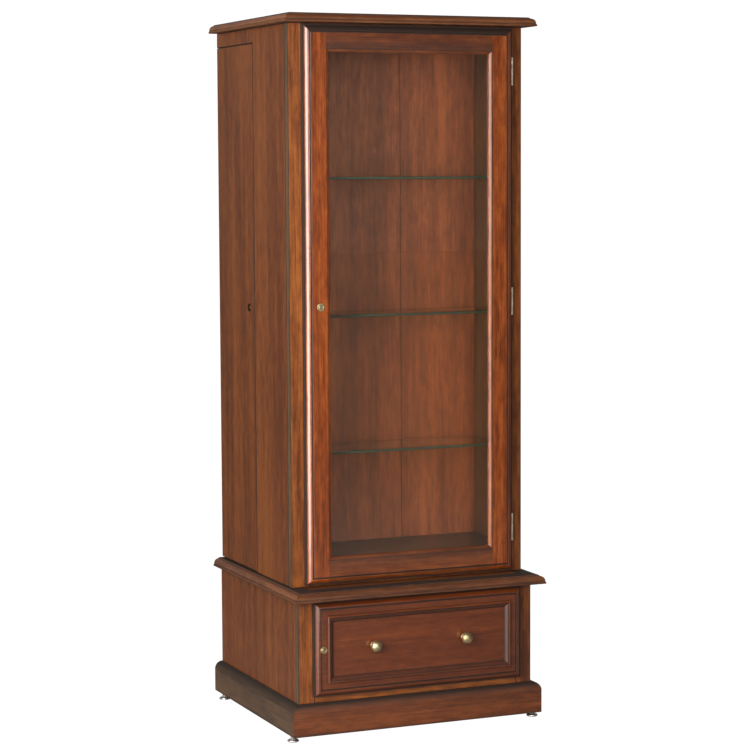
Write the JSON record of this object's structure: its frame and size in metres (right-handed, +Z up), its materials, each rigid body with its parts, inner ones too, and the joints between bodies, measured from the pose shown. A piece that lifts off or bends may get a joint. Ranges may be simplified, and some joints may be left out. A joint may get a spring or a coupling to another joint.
{
  "type": "display cabinet",
  "caption": "Tall wooden display cabinet with a locking glass door, glass shelves, a drawer in its base and a locking pull-out rack hidden behind the display.",
  "frame": {"origin": "on the floor, under the centre of the cabinet's bounding box", "axes": "+Z up, the front with the door and the drawer faces -Y, +X to the right of someone facing the front"},
  "size_m": [0.6666, 0.5914, 1.727],
  "materials": {
    "case_wood": "satin lacquer on brown cherry veneer",
    "frame_wood": "satin lacquer on solid cherry-stained hardwood",
    "door_wood": "satin lacquer on solid cherry-stained hardwood, glazed in its grooves",
    "interior_wood": "satin lacquer",
    "raw_plywood": "bare plywood",
    "antique_brass": "antiqued, satin",
    "zinc_steel": "zinc plated",
    "clear_glass": "clear, polished edges"
  },
  "bodies": {
    "cabinet": {"base_back_panel": "raw_plywood", "base_bottom_rail": "frame_wood", "base_left_side": "case_wood", "base_left_stile": "frame_wood", "base_right_side": "case_wood", "base_right_stile": "frame_wood", "cornice_board": "case_wood", "display_back_panel": "interior_wood", "display_floor_board": "interior_wood", "drawer_runner_fixed": "zinc_steel", "glass_shelf_lower": "clear_glass", "glass_shelf_middle": "clear_glass", "glass_shelf_upper": "clear_glass", "hinge_lower_frame_leaf": "antique_brass", "hinge_middle_frame_leaf": "antique_brass", "hinge_upper_frame_leaf": "antique_brass", "left_side_panel": "case_wood", "plinth_front": "case_wood", "plinth_left": "case_wood", "plinth_right": "case_wood", "right_side_panel": "case_wood", "slider_jamb": "raw_plywood", "slider_runner_fixed": "zinc_steel", "upper_back_panel": "raw_plywood", "upper_bottom_rail": "frame_wood", "upper_left_stile": "frame_wood", "upper_right_stile": "frame_wood", "upper_top_rail": "frame_wood", "waist_board": "case_wood"},
    "door": {"door_bottom_rail": "door_wood", "door_glass": "clear_glass", "door_left_stile": "door_wood", "door_lock_body": "antique_brass", "door_right_stile": "door_wood", "door_top_rail": "door_wood", "hinge_upper_door_leaf": "antique_brass", "hinge_middle_door_leaf": "antique_brass", "hinge_lower_door_leaf": "antique_brass"},
    "drawer": {"drawer_back": "raw_plywood", "drawer_bottom": "raw_plywood", "drawer_front": "door_wood", "drawer_knob_left": "antique_brass", "drawer_knob_right": "antique_brass", "drawer_left_side": "raw_plywood", "drawer_lock_body": "antique_brass", "drawer_right_side": "raw_plywood", "drawer_runner_moving": "zinc_steel"},
    "pull_out_rack": {"slider_end_panel": "case_wood", "slider_tray_board": "raw_plywood", "slider_far_post": "raw_plywood", "slider_rest_rail": "raw_plywood", "slider_runner_moving": "zinc_steel", "side_lock_body": "antique_brass"},
    "door_lock_barrel": {"door_lock_plug": "antique_brass"},
    "drawer_lock_barrel": {"drawer_lock_plug": "antique_brass"},
    "side_lock_barrel": {"side_lock_plug": "antique_brass"},
    "glide_front_left": {"glide_front_left": "zinc_steel"},
    "glide_front_right": {"glide_front_right": "zinc_steel"},
    "glide_rear_left": {"glide_rear_left": "zinc_steel"},
    "glide_rear_right": {"glide_rear_right": "zinc_steel"}
  },
  "joints": [
    {"name": "door_swing", "type": "hinge", "parent": "cabinet", "child": "door", "pos_m": [0.2783, -0.20815, 1.036], "axis": [0, 0, 1], "range_deg": [0, 110]},
    {"name": "drawer_slide", "type": "slide", "parent": "cabinet", "child": "drawer", "axis": [0, -1, 0], "range_m": [0, 0.3]},
    {"name": "rack_slide", "type": "slide", "parent": "cabinet", "child": "pull_out_rack", "axis": [-1, 0, 0], "range_m": [0, 0.4]},
    {"name": "door_lock_turn", "type": "hinge", "parent": "door", "child": "door_lock_barrel", "pos_m": [-0.235, -0.22665, 1.036], "axis": [0, 1, 0], "range_deg": [0, 90]},
    {"name": "drawer_lock_turn", "type": "hinge", "parent": "drawer", "child": "drawer_lock_barrel", "pos_m": [-0.252, -0.27365, 0.222], "axis": [0, 1, 0], "range_deg": [0, 90]},
    {"name": "side_lock_turn", "type": "hinge", "parent": "pull_out_rack", "child": "side_lock_barrel", "pos_m": [-0.306, 0.07365, 1.022], "axis": [-1, 0, 0], "range_deg": [0, 90]},
    {"name": "glide_front_left_screw", "type": "slide", "parent": "cabinet", "child": "glide_front_left", "axis": [0, 0, 1], "range_m": [-0.012, 0.002]},
    {"name": "glide_front_right_screw", "type": "slide", "parent": "cabinet", "child": "glide_front_right", "axis": [0, 0, 1], "range_m": [-0.012, 0.002]},
    {"name": "glide_rear_left_screw", "type": "slide", "parent": "cabinet", "child": "glide_rear_left", "axis": [0, 0, 1], "range_m": [-0.012, 0.002]},
    {"name": "glide_rear_right_screw", "type": "slide", "parent": "cabinet", "child": "glide_rear_right", "axis": [0, 0, 1], "range_m": [-0.012, 0.002]}
  ]
}
